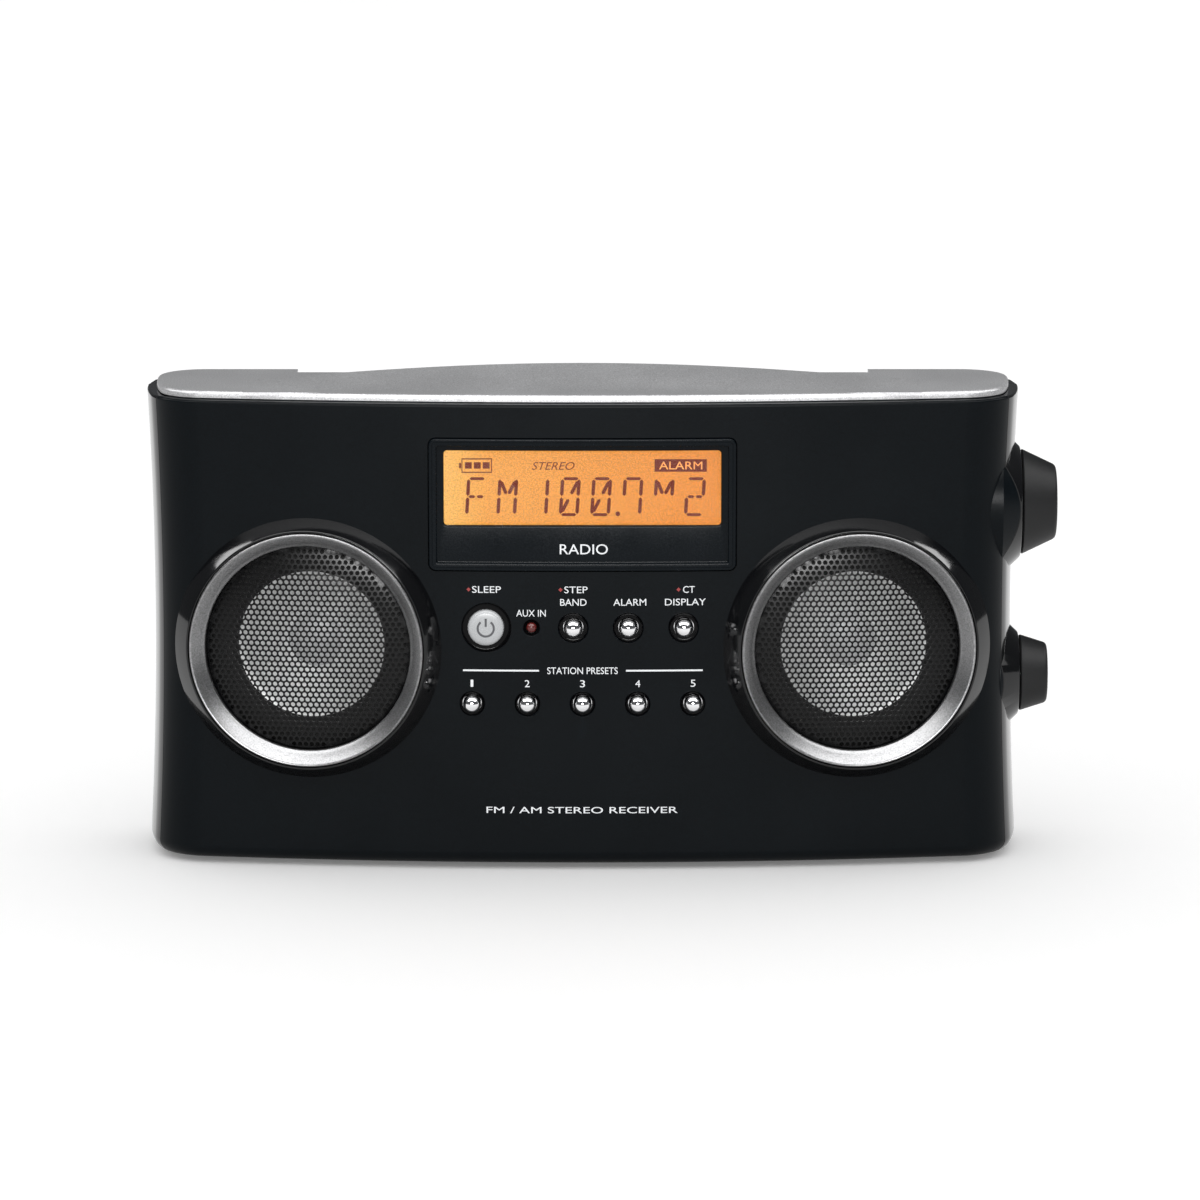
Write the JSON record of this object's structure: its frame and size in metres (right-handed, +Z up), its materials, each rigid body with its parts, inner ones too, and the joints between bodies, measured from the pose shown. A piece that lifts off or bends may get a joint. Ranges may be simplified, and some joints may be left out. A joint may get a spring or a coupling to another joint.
{
  "type": "tabletop radio",
  "caption": "Portable stereo tabletop radio with bowed front, two round speakers, amber display, push buttons, side knobs, arched carrying grip and telescopic aerial.",
  "frame": {"origin": "on the table under the middle of the whole radio's box, knobs included", "axes": "+X to the right as seen from the front (the knobs' side), +Y from the front to the back, +Z up"},
  "size_m": [0.2692, 0.0702, 0.144],
  "materials": {
    "panel_black": "semi-gloss moulded",
    "case_black": "gloss moulded",
    "plate_grey": "satin metallic paint",
    "bezel_black": "gloss",
    "window_clear": "clear",
    "lcd_glass": "clear with dark segments",
    "backlight_amber": "lit amber diffuser",
    "button_white": "satin",
    "lens_red": "clear tinted",
    "chrome": "polished",
    "ring_silver": "fine satin",
    "grille_black": "perforated, satin",
    "cone_silver": "coated cone",
    "knob_black": "matte",
    "steel": "plain",
    "ferrite": "sintered",
    "copper_wire": "enamelled wire",
    "board_green": "solder mask",
    "rubber": "matte",
    "cell_wrap": "plain sleeve"
  },
  "bodies": {
    "cabinet": {"aux_in_jack": "knob_black", "aux_indicator": "lens_red", "battery_cell_1": "cell_wrap", "battery_cell_2": "cell_wrap", "battery_cell_3": "cell_wrap", "battery_cell_4": "cell_wrap", "case_screw_1": "steel", "case_screw_2": "steel", "case_screw_3": "steel", "case_screw_4": "steel", "control_board": "board_green", "dc_jack": "knob_black", "display_bezel": "bezel_black", "display_window": "window_clear", "ferrite_coil": "copper_wire", "ferrite_rod": "ferrite", "front_panel": "panel_black", "headphone_jack": "knob_black", "lcd_backlight": "backlight_amber", "lcd_glass": "lcd_glass", "main_board": "board_green", "middle_frame": "case_black", "rear_cabinet": "case_black", "rubber_foot_1": "rubber", "rubber_foot_2": "rubber", "rubber_foot_3": "rubber", "rubber_foot_4": "rubber", "speaker_cone_left": "cone_silver", "speaker_cone_right": "cone_silver", "speaker_frame_left": "steel", "speaker_frame_right": "steel", "speaker_grille_left": "grille_black", "speaker_grille_right": "grille_black", "speaker_magnet_left": "ferrite", "speaker_magnet_right": "ferrite", "speaker_ring_left": "ring_silver", "speaker_ring_right": "ring_silver", "top_plate": "plate_grey", "tuning_encoder": "steel", "volume_control": "steel"},
    "power_button": {"power_button": "button_white"},
    "band_button": {"band_button": "chrome"},
    "alarm_button": {"alarm_button": "chrome"},
    "display_button": {"display_button": "chrome"},
    "preset_button_1": {"preset_button_1": "chrome"},
    "preset_button_2": {"preset_button_2": "chrome"},
    "preset_button_3": {"preset_button_3": "chrome"},
    "preset_button_4": {"preset_button_4": "chrome"},
    "preset_button_5": {"preset_button_5": "chrome"},
    "tuning_knob": {"tuning_knob": "knob_black", "tuning_shaft": "steel"},
    "volume_knob": {"volume_knob": "knob_black", "volume_shaft": "steel"},
    "battery_door": {"battery_door": "case_black"},
    "antenna_swivel": {"antenna_base": "chrome"},
    "antenna_lower": {"antenna_tube_1": "chrome"},
    "antenna_second": {"antenna_tube_2": "chrome"},
    "antenna_third": {"antenna_tube_3": "chrome"},
    "antenna_tip": {"antenna_tube_4": "chrome"}
  },
  "joints": [
    {"name": "power_button_press", "type": "slide", "parent": "cabinet", "child": "power_button", "axis": [0, 1, 0], "range_m": [0, 0.0008], "stiffness_N_per_m": 400},
    {"name": "band_button_press", "type": "slide", "parent": "cabinet", "child": "band_button", "axis": [0, 1, 0], "range_m": [0, 0.0008], "stiffness_N_per_m": 400},
    {"name": "alarm_button_press", "type": "slide", "parent": "cabinet", "child": "alarm_button", "axis": [0, 1, 0], "range_m": [0, 0.0008], "stiffness_N_per_m": 400},
    {"name": "display_button_press", "type": "slide", "parent": "cabinet", "child": "display_button", "axis": [0, 1, 0], "range_m": [0, 0.0008], "stiffness_N_per_m": 400},
    {"name": "preset_button_1_press", "type": "slide", "parent": "cabinet", "child": "preset_button_1", "axis": [0, 1, 0], "range_m": [0, 0.0008], "stiffness_N_per_m": 400},
    {"name": "preset_button_2_press", "type": "slide", "parent": "cabinet", "child": "preset_button_2", "axis": [0, 1, 0], "range_m": [0, 0.0008], "stiffness_N_per_m": 400},
    {"name": "preset_button_3_press", "type": "slide", "parent": "cabinet", "child": "preset_button_3", "axis": [0, 1, 0], "range_m": [0, 0.0008], "stiffness_N_per_m": 400},
    {"name": "preset_button_4_press", "type": "slide", "parent": "cabinet", "child": "preset_button_4", "axis": [0, 1, 0], "range_m": [0, 0.0008], "stiffness_N_per_m": 400},
    {"name": "preset_button_5_press", "type": "slide", "parent": "cabinet", "child": "preset_button_5", "axis": [0, 1, 0], "range_m": [0, 0.0008], "stiffness_N_per_m": 400},
    {"name": "tuning_turn", "type": "hinge", "parent": "cabinet", "child": "tuning_knob", "pos_m": [0.12419, 0.00411, 0.104], "axis": [1, 0, 0], "continuous": true},
    {"name": "volume_turn", "type": "hinge", "parent": "cabinet", "child": "volume_knob", "pos_m": [0.12419, 0.00411, 0.0525], "axis": [1, 0, 0], "range_deg": [-150, 150]},
    {"name": "battery_door_tilt", "type": "hinge", "parent": "cabinet", "child": "battery_door", "pos_m": [-0.00541, 0.03401, 0.0084], "axis": [-1, 0, 0], "range_deg": [0, 90]},
    {"name": "antenna_swing", "type": "hinge", "parent": "cabinet", "child": "antenna_swivel", "pos_m": [0.06659, 0.02911, 0.111], "axis": [0, 1, 0], "range_deg": [0, 100]},
    {"name": "antenna_tilt", "type": "hinge", "parent": "antenna_swivel", "child": "antenna_lower", "pos_m": [0.06659, 0.02911, 0.111], "axis": [0, 0, -1], "range_deg": [0, 90]},
    {"name": "antenna_second_slide", "type": "slide", "parent": "antenna_lower", "child": "antenna_second", "axis": [-1, 0, 0], "range_m": [0, 0.115]},
    {"name": "antenna_third_slide", "type": "slide", "parent": "antenna_second", "child": "antenna_third", "axis": [-1, 0, 0], "range_m": [0, 0.115]},
    {"name": "antenna_tip_slide", "type": "slide", "parent": "antenna_third", "child": "antenna_tip", "axis": [-1, 0, 0], "range_m": [0, 0.115]}
  ]
}
